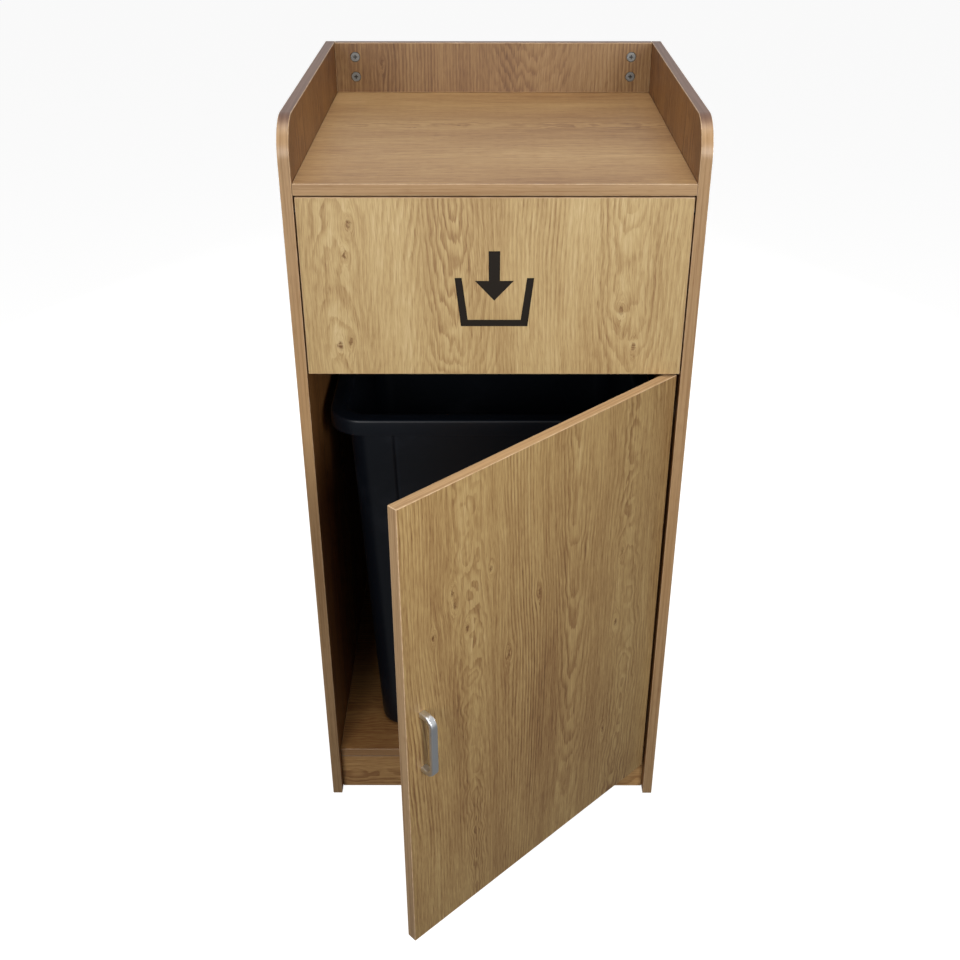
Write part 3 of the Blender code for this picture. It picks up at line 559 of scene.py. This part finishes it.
def make_looks():
    """Print, tape and arris of each board. Every board has its own hearts, knots and seed."""
    looks = {}
    for index, (name, make_print) in enumerate(PRINTS.items()):
        tone = OTHER_TAPE_TONES.get(name, TAPE_TONE)
        fade = ARRIS_FADE.get(name, 1.0)
        top = SIDE_HIGH.z if name in SHADE_TOPPED else None
        flat = THICKNESS_AXES.get(name, "Y")
        tape = edge_band(f"{name}_tape", flat, tone, FIRST_TAPE_SEED + index, top)
        looks[name] = {"face": make_print(), "tape": tape,
                       "arris": arris(f"{name}_arris", tuple(part * fade for part in tone))}
    # The sides' inner faces take a darker copy of the side print: painted shade, as they get less light.
    looks["side"]["inside"] = shaded_side_inner_print()
    return looks


# ---------------------------------------------------------------- mesh helpers

def mesh_from(name, build, materials):
    bm = bmesh.new()
    build(bm)
    bmesh.ops.recalc_face_normals(bm, faces=bm.faces)
    mesh = bpy.data.meshes.new(name)
    bm.to_mesh(mesh)
    bm.free()
    for material in materials:
        mesh.materials.append(material)
    return mesh


def add_piece(name, mesh, place=None):
    piece = bpy.data.objects.new(name, mesh)
    bpy.context.scene.collection.objects.link(piece)
    if place is not None:
        piece.matrix_world = place
    return piece


def soften(mesh, angle):
    """Shade the mesh smooth except at edges sharper than the angle, in degrees."""
    mesh.shade_smooth()
    mesh.set_sharp_from_angle(angle=math.radians(angle))


def even_normals(piece):
    """Shade the flat faces flat and let only the eased corners turn."""
    weighted = piece.modifiers.new("even_normals", "WEIGHTED_NORMAL")
    weighted.keep_sharp = True
    weighted.weight = 80


def arc(radius, start, end, steps, centre):
    angles = [math.radians(start + (end - start) * i / steps) for i in range(steps + 1)]
    return [(centre[0] + radius * math.cos(t), centre[1] + radius * math.sin(t)) for t in angles]


def loft(loops):
    """Closed shell through loops of equally many points, with both end loops filled."""
    def build(bm):
        rows = [[bm.verts.new(point) for point in points] for points in loops]
        for lower, upper in zip(rows, rows[1:]):
            for i in range(len(lower)):
                j = (i + 1) % len(lower)
                bm.faces.new((lower[i], lower[j], upper[j], upper[i]))
        bm.faces.new(rows[0])
        bm.faces.new(list(reversed(rows[-1])))

    return build


def subtract(piece, build, material, place):
    """Cut the shapes of build(bm) out of the piece for good; the cut faces take `material`."""
    tool = add_piece("tool", mesh_from("tool", build, [material]), place)
    boolean = piece.modifiers.new("cut", "BOOLEAN")
    boolean.solver = "EXACT"
    boolean.material_mode = "TRANSFER"
    boolean.object = tool
    bpy.context.view_layer.update()
    evaluated = piece.evaluated_get(bpy.context.evaluated_depsgraph_get())
    mesh = bpy.data.meshes.new_from_object(evaluated)
    piece.modifiers.clear()
    piece.data = mesh
    soften(mesh, BOARD_CREASE)
    bpy.data.objects.remove(tool, do_unlink=True)


# ---------------------------------------------------------------- boards

EASE = 0.0009          # size of the eased corner between face and tape
BOARD_CREASE = 50      # degrees; sharper edges stay sharp
CORNER_RADIUS = 0.050  # of the sides' front top corners
CORNER_STEPS = 24
DRILL_PAST = 0.0003    # how far a drilled hole goes past its hardware at each end
CARVE_GAP = 0.00039    # round hardware and panels let into a board
CAM_GAP = 0.0008       # round the cam discs, which shows as a dark line
CUP_FLANGE = 0.0022    # of a hinge cup, past its hole
SCREW_HOLE = 0.0025
FACING = 0.9           # share of a face's normal along an axis that counts as facing it
RAW = chipboard("raw_chipboard")
# Material slots of a board; the inner print is a darker copy of the print, painted shade.
PRINT, TAPE, ARRIS, RAW_END, SHADED_INNER_PRINT = range(5)


def faces_along(face, direction):
    """Whether a face looks along a direction such as -Z."""
    sign = -1 if direction[0] == "-" else 1
    return face.normal["XYZ".index(direction[1])] * sign > FACING


def board_mesh(name, outline_build, thickness_axis, raw, looks, inward):
    """Ease every edge and give each face its finish: print, tape, eased corner or raw end.

    raw lists the directions, such as -Z, whose ends have no tape. inward is the sign of the face
    that takes the inner print, darkened as painted shade, or 0.
    """
    def build(bm):
        outline_build(bm)
        bmesh.ops.recalc_face_normals(bm, faces=bm.faces)
        for face in bm.faces:
            through = face.normal["XYZ".index(thickness_axis)]
            if abs(through) > FACING:
                face.material_index = SHADED_INNER_PRINT if through * inward > FACING else PRINT
            elif any(faces_along(face, direction) for direction in raw):
                face.material_index = RAW_END
            else:
                face.material_index = TAPE
        sharp = [edge for edge in bm.edges if edge.calc_face_angle(0) > math.radians(BOARD_CREASE)]
        bmesh.ops.bevel(bm, geom=sharp, offset=EASE, segments=2, profile=0.5, affect="EDGES",
                        material=ARRIS, clamp_overlap=True)

    inner = looks.get("inside", looks["face"])
    mesh = mesh_from(name, build, [looks["face"], looks["tape"], looks["arris"], RAW, inner])
    soften(mesh, BOARD_CREASE)
    return mesh


def box_outline(low, high):
    size = [b - a for a, b in zip(low, high)]
    centre = [(a + b) / 2 for a, b in zip(low, high)]
    scale = Matrix.Diagonal((*size, 1.0))
    return lambda bm: bmesh.ops.create_cube(bm, size=1.0, matrix=Matrix.Translation(centre) @ scale)


def side_outline(low, high):
    """Side board in (y, z), its front top corner rounded."""
    middle = (low.y + CORNER_RADIUS, high.z - CORNER_RADIUS)
    rounded = arc(CORNER_RADIUS, 90, 180, CORNER_STEPS, middle)
    points = [(low.y, low.z), (high.y, low.z), (high.y, high.z)] + rounded

    def build(bm):
        base = bm.faces.new([bm.verts.new((low.x, y, z)) for y, z in points])
        moved = bmesh.ops.extrude_face_region(bm, geom=[base])["geom"]
        tops = [item for item in moved if isinstance(item, bmesh.types.BMVert)]
        bmesh.ops.translate(bm, verts=tops, vec=(high.x - low.x, 0, 0))

    return build


def add_board(node, thickness_axis, looks, raw=(), outline=None, place=None, box=None, inward=0):
    """Rebuild a CAD board with eased, taped edges."""
    low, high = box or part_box(node)
    mesh = board_mesh(f"{node}_eased", outline or box_outline(low, high), thickness_axis, raw, looks,
                      inward)
    piece = add_piece(f"{node}_eased", mesh, place)
    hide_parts(node)
    return piece


def add_grown(bm, node, grow, hull):
    """Add a CAD node's own or hull shape to bm, pushed out by `grow` all round."""
    source = frame["nodes"][node].data
    shape = bmesh.new()
    if hull:
        for vertex in source.vertices:
            shape.verts.new(vertex.co)
        bmesh.ops.convex_hull(shape, input=shape.verts)
        loose = [vertex for vertex in shape.verts if not vertex.link_faces]
        bmesh.ops.delete(shape, geom=loose, context="VERTS")
    else:
        shape.from_mesh(source)
        bmesh.ops.remove_doubles(shape, verts=shape.verts, dist=0.00001)
    bmesh.ops.recalc_face_normals(shape, faces=shape.faces)
    shape.normal_update()
    moves = [(vertex, vertex.normal * vertex.calc_shell_factor() * grow) for vertex in shape.verts]
    for vertex, move in moves:
        vertex.co += move
    mesh = bpy.data.meshes.new("grown")
    shape.to_mesh(mesh)
    shape.free()
    bm.from_mesh(mesh)
    bpy.data.meshes.remove(mesh)


def carve(piece, words, material=RAW, hull=True, gap=CARVE_GAP):
    """Cut room for the CAD nodes whose names hold one of the words, with a gap all round."""
    def room(bm):
        for node in frame["nodes"]:
            if any(word in node for word in words):
                add_grown(bm, node, gap, hull)

    subtract(piece, room, material, Matrix())


def drill(piece, nodes, radius):
    """Round holes across the door for the door's own hardware."""
    def holes(bm):
        for node in nodes:
            low, high = door_box(node)
            place = Matrix.Translation((low + high) / 2) @ Matrix.Rotation(-math.pi / 2, 4, "X")
            bmesh.ops.create_cone(bm, cap_ends=True, segments=48, radius1=radius, radius2=radius,
                                  depth=high.y - low.y + 2 * DRILL_PAST, matrix=place)

    subtract(piece, holes, RAW, DOOR_PLACE)


def finish_board(piece, body):
    even_normals(piece)
    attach(piece, body)


def add_sides(look):
    for side, inward in (("left", 1), ("right", -1)):
        node = f"{side}_side_panel"
        low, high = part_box(node)
        piece = add_board(node, "X", look, raw=("-Z", "+Y"), outline=side_outline(low, high),
                          inward=inward)
        carve(piece, ("back_panel",))
        carve(piece, (f"bolt_{side}", f"flap_bush_{side}"))
        finish_board(piece, "cabinet")


def add_fixed_boards(looks):
    """Shelf, deck and guard with room for their cams and bolts, then the plain boards."""
    shelf = add_board("tray_shelf", "Z", looks["shelf"], raw=("+Y", "-X", "+X"))
    deck = add_board("deck", "Z", looks["deck"], raw=("+Y", "-X", "+X"))
    guard = add_board("back_guard", "Y", looks["guard"], raw=("-Z", "-X", "+X"))
    for piece, word in ((shelf, "shelf"), (deck, "deck"), (guard, "guard")):
        if piece is not guard:
            carve(piece, ("back_panel",))
        carve(piece, (f"{word}_cam_",), gap=CAM_GAP)
        carve(piece, (f"{word}_bolt_",))
    plain = [add_board("front_plinth", "Y", looks["plinth"], raw=("-Z", "-X", "+X")),
             add_board("rear_plinth", "Y", looks["plinth"], raw=("-Z", "-X", "+X")),
             add_board("flap_stop_strip", "Y", looks["plinth"], raw=("-X", "+X")),
             add_board("back_panel", "Y", looks["guard"], raw=("-Z", "+Z", "-X", "+X"))]
    for piece in (shelf, deck, guard, *plain):
        finish_board(piece, "cabinet")


def add_flap(look):
    flap = add_board("flap_panel", "Y", look)
    carve(flap, ("flap_pin_",))
    carve(flap, ("sign_",), frame["nodes"]["sign_bin"].data.materials[0], hull=False)
    finish_board(flap, "flap")


def add_door(look):
    door = add_board("door_panel", "Y", look, box=door_box("door_panel"), place=DOOR_PLACE)
    cup_low, cup_high = door_box("hinge_cup_lower")
    drill(door, ("hinge_cup_lower", "hinge_cup_upper"), (cup_high.z - cup_low.z) / 2 - CUP_FLANGE)
    drill(door, ("handle_screw_lower", "handle_screw_upper"), SCREW_HOLE)
    finish_board(door, "door")


# ---------------------------------------------------------------- metal and plastic finishes

def metal(name, colour, roughness, grain=(900, 900, 60), dirt=0.15):
    """Metal with brush lines, `grain` per metre along each axis, and duller clouds."""
    s = Shade(name)
    axes = s.axes()
    brushed = s.noise(s.point(*[s.scaled(axes[a], k) for a, k in zip("XYZ", grain)]), detail=2)
    cloud = s.noise(s.coordinates, scale=60, detail=3)
    dull = tuple(part * 0.72 for part in colour)
    base = s.mix(s.math("MULTIPLY", s.step(cloud, 0.4, 0.75), dirt * 2), colour, dull)
    rough = s.math("ADD", s.scaled(brushed, 0.14, roughness - 0.07), s.swing(cloud, 0.08))
    return s.finish(base, rough, s.bump(brushed, 0.00003), metallic=1.0)


def plastic(name, colour, roughness, texture=700, height=0.00008, shine=0.5):
    """Plastic or rubber with a fine moulded skin and lighter scuffs."""
    s = Shade(name)
    skin = s.noise(s.coordinates, scale=texture, detail=2)
    scuff = s.noise(s.coordinates, scale=9, detail=4, roughness=0.65)
    lighter = tuple(min(1.0, part * 1.6 + 0.004) for part in colour)
    base = s.mix(s.step(scuff, 0.55, 0.8), colour, lighter)
    rough = s.math("ADD", s.scaled(skin, 0.08, roughness - 0.04), s.swing(scuff, 0.16))
    material = s.finish(base, rough, s.bump(skin, height))
    s.shader.inputs["Specular IOR Level"].default_value = shine
    return material


# ---------------------------------------------------------------- small hardware

WELD = 0.00001
BEVEL_ANGLE = 40           # degrees
RECESS_RADIUS = 0.0045     # round the screwdriver recess in a cam's face
RECESS_DEPTHS = (0.0002, 0.0014)


def hardware_looks():
    """Finish and bevel by a word in the node's name."""
    zinc = metal("cam_zinc_finish", (0.24, 0.25, 0.25), 0.42)
    steel = metal("plain_steel_finish", (0.60, 0.61, 0.63), 0.30)
    black_steel = metal("flap_pin_finish", (0.07, 0.068, 0.066), 0.45)
    yellow = metal("bolt_steel_finish", (0.62, 0.56, 0.40), 0.35)
    nickel = metal("hinge_nickel_finish", (0.66, 0.64, 0.60), 0.24)
    nylon = plastic("bush_nylon_finish", (0.022, 0.021, 0.020), 0.5)
    rubber = plastic("bumper_rubber_finish", (0.45, 0.44, 0.42), 0.5)
    sign = plastic("sign_inlay_finish", (0.010, 0.0065, 0.004), 0.62, 900, 0.00005, shine=0.2)
    return {"_cam_": (zinc, 0.0004), "_bolt_": (yellow, 0.0002), "hinge_": (nickel, 0.0004),
            "screw": (steel, 0.0002), "pin_": (black_steel, 0.0003), "bush": (nylon, 0.0003),
            "bumper": (rubber, 0.0002), "sign": (sign, 0.00015)}


def finish_hardware():
    """Bevels and finishes for the hardware that keeps its CAD shape."""
    looks = hardware_looks()
    # Painted shade: a near-black material for the shade inside the cams' screwdriver recesses.
    recess = plastic("cam_recess_shade", (0.015, 0.014, 0.013), 0.7)
    for node, piece in frame["nodes"].items():
        found = [look for word, look in looks.items() if word in node]
        if not found:
            continue
        material, ease = found[0]
        piece.data.materials.clear()
        piece.data.materials.append(material)
        weld = piece.modifiers.new("weld", "WELD")
        weld.merge_threshold = WELD
        bevel = piece.modifiers.new("ease", "BEVEL")
        bevel.width = ease
        bevel.segments = 2
        bevel.limit_method = "ANGLE"
        bevel.angle_limit = math.radians(BEVEL_ANGLE)
        piece.data.shade_smooth()
        even_normals(piece)
        if "_cam_" in node:
            shade_recess(node, piece, recess)


def shade_recess(node, piece, material):
    """The cross-shaped screwdriver recess in a cam's face is coloured near-black inside: painted shade."""
    piece.data.materials.append(material)
    low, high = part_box(node)
    centre = (low + high) / 2
    axis = 1 if "guard" in node else 2
    shallow, deep = [low[axis] + depth for depth in RECESS_DEPTHS]
    for polygon in piece.data.polygons:
        offset = polygon.center - centre
        offset[axis] = 0
        if offset.length < RECESS_RADIUS and shallow < polygon.center[axis] < deep:
            polygon.material_index = 1


# ---------------------------------------------------------------- handle

HANDLE_SIDES = 40
HANDLE_THICKNESS = 0.0080
HANDLE_BEND = 0.012   # radius of its centre line
HANDLE_CREASE = 60
BEND_STEPS = 14
GRIP_INSET = 0.0019   # from the front of the CAD grip to the front of the smooth one
ROUNDNESS = 0.36      # of the bar's section: 1 is an ellipse, near 0 a rectangle


def handle_path(reach, half):
    """Centre line from foot to foot, as places and directions in (y, z)."""
    path = [((0.0, -half), (-1.0, 0.0)), ((-reach * 0.25, -half), (-1.0, 0.0)),
            ((-reach + HANDLE_BEND, -half), (-1.0, 0.0))]
    for step in range(1, BEND_STEPS):
        t = math.radians(90 * step / BEND_STEPS)
        path.append(((-reach + HANDLE_BEND * (1 - math.sin(t)), -half + HANDLE_BEND * (1 - math.cos(t))),
                     (-math.cos(t), math.sin(t))))
    path.append(((-reach, -half + HANDLE_BEND), (0.0, 1.0)))
    path.append(((-reach, -half * 0.4), (0.0, 1.0)))
    mirrored = [((y, -z), (-dy, dz)) for (y, z), (dy, dz) in reversed(path)]
    return path + mirrored


def add_handle():
    """Satin D-handle: a rounded flat bar with two smooth bends."""
    low, high = door_box("handle")
    centre = (low + high) / 2
    half_width, half_thick = (high.x - low.x) / 2, HANDLE_THICKNESS / 2

    def outline(place, way):
        (y, z), (dy, dz) = place, way
        points = []
        for side in range(HANDLE_SIDES):
            t = math.tau * (side + 0.5) / HANDLE_SIDES
            across = math.copysign(abs(math.cos(t)) ** ROUNDNESS, math.cos(t)) * half_width
            deep = math.copysign(abs(math.sin(t)) ** ROUNDNESS, math.sin(t)) * half_thick
            points.append((centre.x + across, high.y + y + dz * deep, centre.z + z - dy * deep))
        return points

    path = handle_path(high.y - low.y - half_thick - GRIP_INSET, (high.z - low.z) / 2 - half_thick)
    satin = metal("handle_satin_finish", (0.66, 0.68, 0.70), 0.34, (1500, 1500, 90), 0.08)
    mesh = mesh_from("handle_bar", loft([outline(*step) for step in path]), [satin])
    soften(mesh, HANDLE_CREASE)
    piece = add_piece("handle_bar", mesh, DOOR_PLACE)
    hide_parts("handle")
    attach(piece, "door")


# ---------------------------------------------------------------- liner bin

BIN_WALL = 0.003
BIN_OVERHANG = 0.026       # of the rim past the top of the wall
SKIRT_HEIGHT = 0.026
TAPER = (0.026, 0.010)     # how far the wall leans in from its top to its foot, in x and y
WALL_ROWS = 34
WALL_CORNERS = (0.038, 0.034)   # radius at the wall's foot and at its top
BIN_CREASE = 45
# Panels in the walls. Their edge, its slope and the groove's half width are shares of a wall's half width.
PANEL_EDGE = 0.685
PANEL_SLOPE = 0.006
GROOVE_HALF = 0.015
PANEL_SINK = 0.0010
GROOVE_SINK = 0.0014
PANEL_FOOT = (0.050, 0.058)   # heights over the floor between which a panel begins
PANEL_HEAD = (0.002, 0.005)   # and depths under the skirt's lower edge between which it ends
FOOT_ROWS = (0.049, 0.052, 0.055, 0.059)   # extra rows over the floor
HEAD_ROWS = (0.010, 0.013, 0.016, 0.020)   # and under the top of the wall
NEAR_EDGE = [PANEL_EDGE + step * 0.008 for step in (-5, -3, -2, -1, 0, 1, 2, 3)]
STATIONS = [-s for s in reversed(NEAR_EDGE)] + [-0.45, -0.25, 0.0, 0.25, 0.45] + NEAR_EDGE


def rounded_rectangle(half_x, half_y, radius, corner_steps=12):
    """Points of a rounded rectangle, counter-clockwise, closer together at the panels' edges."""
    points = []
    corners = ((1, 1, 0), (-1, 1, 90), (-1, -1, 180), (1, -1, 270))
    for index, (sign_x, sign_y, start) in enumerate(corners):
        middle = (sign_x * (half_x - radius), sign_y * (half_y - radius))
        points += arc(radius, start, start + 90, corner_steps, middle)
        for station in STATIONS:
            points.append(((-station * half_x, half_y), (-half_x, -station * half_y),
                           (station * half_x, -half_y), (half_x, station * half_y))[index])
    return points


def smooth_step(value, low, high):
    share = min(1.0, max(0.0, (value - low) / (high - low)))
    return share * share * (3 - 2 * share)


def panel_sink(share, z, floor_z, skirt_low):
    """How deep the panel in a wall, and the grooves at its sides, are at a share of the half width."""
    across = smooth_step(PANEL_EDGE - share, -PANEL_SLOPE, PANEL_SLOPE)
    groove = max(0.0, 1 - abs(share - PANEL_EDGE) / GROOVE_HALF)
    above_foot = smooth_step(z - floor_z, *PANEL_FOOT)
    below_head = smooth_step(skirt_low - z, *PANEL_HEAD)
    return (PANEL_SINK * across + GROOVE_SINK * groove) * above_foot * below_head


def section(base, inset, radius, z, panelled=False):
    """A level section of the shell: half sizes, corner radius, height, whether it has the panels."""
    return base[0] - inset, base[1] - inset, radius, z, panelled


def wall_sections(foot, body, wall_low, wall_high, floor_z):
    """Even rows up the outside of the wall, with more of them at the panels' ends."""
    heights = [wall_low + (wall_high - wall_low) * i / WALL_ROWS for i in range(1, WALL_ROWS + 1)]
    heights += [floor_z + z for z in FOOT_ROWS]
    heights += [wall_high - z for z in HEAD_ROWS]
    sections = []
    for z in sorted(set(round(z, 5) for z in heights)):
        share = (z - wall_low) / (wall_high - wall_low)
        size = [low + (high - low) * share for low, high in zip(foot, body)]
        radius = WALL_CORNERS[0] + (WALL_CORNERS[1] - WALL_CORNERS[0]) * share
        sections.append(section(size, 0.0, radius, z, True))
    return sections


def bin_sections(rim, floor_z, top):
    """Sections under the foot, up the wall, round the rim with its skirt, and down the inside."""
    body = [half - BIN_OVERHANG for half in rim]
    foot = [half - lean for half, lean in zip(body, TAPER)]
    skirt_low = top - SKIRT_HEIGHT
    wall_low, wall_high = floor_z + 0.014, skirt_low + 0.010
    return [section(foot, 0.012, 0.030, floor_z),
            section(foot, 0.006, 0.034, floor_z + 0.0012),
            section(foot, 0.0015, 0.037, floor_z + 0.006),
            section(foot, 0.0, 0.038, wall_low),
            *wall_sections(foot, body, wall_low, wall_high, floor_z),
            section(body, -0.002, 0.036, top - 0.014),
            section(body, -0.008, 0.040, top - 0.0095),
            section(rim, BIN_WALL + 0.004, 0.046, top - 0.0088),
            section(rim, BIN_WALL, 0.049, top - 0.0125),
            section(rim, BIN_WALL, 0.049, skirt_low + 0.001),
            section(rim, BIN_WALL - 0.0008, 0.0495, skirt_low),
            section(rim, 0.0004, 0.0516, skirt_low),
            section(rim, 0.0, 0.052, skirt_low + 0.001),
            section(rim, 0.0, 0.052, top - 0.0050),
            section(rim, 0.0003, 0.0517, top - 0.0033),
            section(rim, 0.0010, 0.0510, top - 0.0019),
            section(rim, 0.0022, 0.0498, top - 0.0010),
            section(rim, 0.0038, 0.0482, top - 0.0008),
            section(body, -0.010, 0.042, top - 0.0004),
            section(body, -0.004, 0.038, top - 0.0002),
            section(body, -0.0005, 0.035, top - 0.0022),
            section(body, 0.0015, 0.033, top - 0.0050),
            section(body, BIN_WALL - 0.0004, 0.0312, top - 0.012),
            section(foot, BIN_WALL, 0.035, floor_z + 0.016),
            section(foot, BIN_WALL + 0.003, 0.033, floor_z + 0.008),
            section(foot, 0.011, 0.030, floor_z + 0.0045)]


def add_bin():
    """Tapered bin with shallow panels in its walls and a rolled rim, as one closed shell."""
    low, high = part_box("waste_bin")
    centre = (low + high) / 2
    rim = ((high.x - low.x) / 2, (high.y - low.y) / 2)
    loops = []
    for half_x, half_y, radius, z, panelled in bin_sections(rim, low.z, high.z):
        points = []
        for x, y in rounded_rectangle(half_x, half_y, radius):
            share_x, share_y = abs(x) / half_x, abs(y) / half_y
            sink = panel_sink(min(share_x, share_y), z, low.z, high.z - SKIRT_HEIGHT) if panelled else 0.0
            if share_y > share_x:
                y -= math.copysign(sink, y)
            else:
                x -= math.copysign(sink, x)
            points.append((x, y, z - centre.z))
        loops.append(points)
    black = plastic("bin_black_finish", (0.0038, 0.0056, 0.0094), 0.34, shine=0.25)
    mesh = mesh_from("bin_shell", loft(loops), [black])
    soften(mesh, BIN_CREASE)
    piece = add_piece("bin_shell", mesh, Matrix.Translation(centre))
    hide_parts("waste_bin")
    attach(piece, "bin")


# ---------------------------------------------------------------- everything

add_camera()
add_studio()
finish_hardware()
LOOKS = make_looks()
add_sides(LOOKS["side"])
add_fixed_boards(LOOKS)
add_flap(LOOKS["flap"])
add_door(LOOKS["door"])
add_handle()
add_bin()
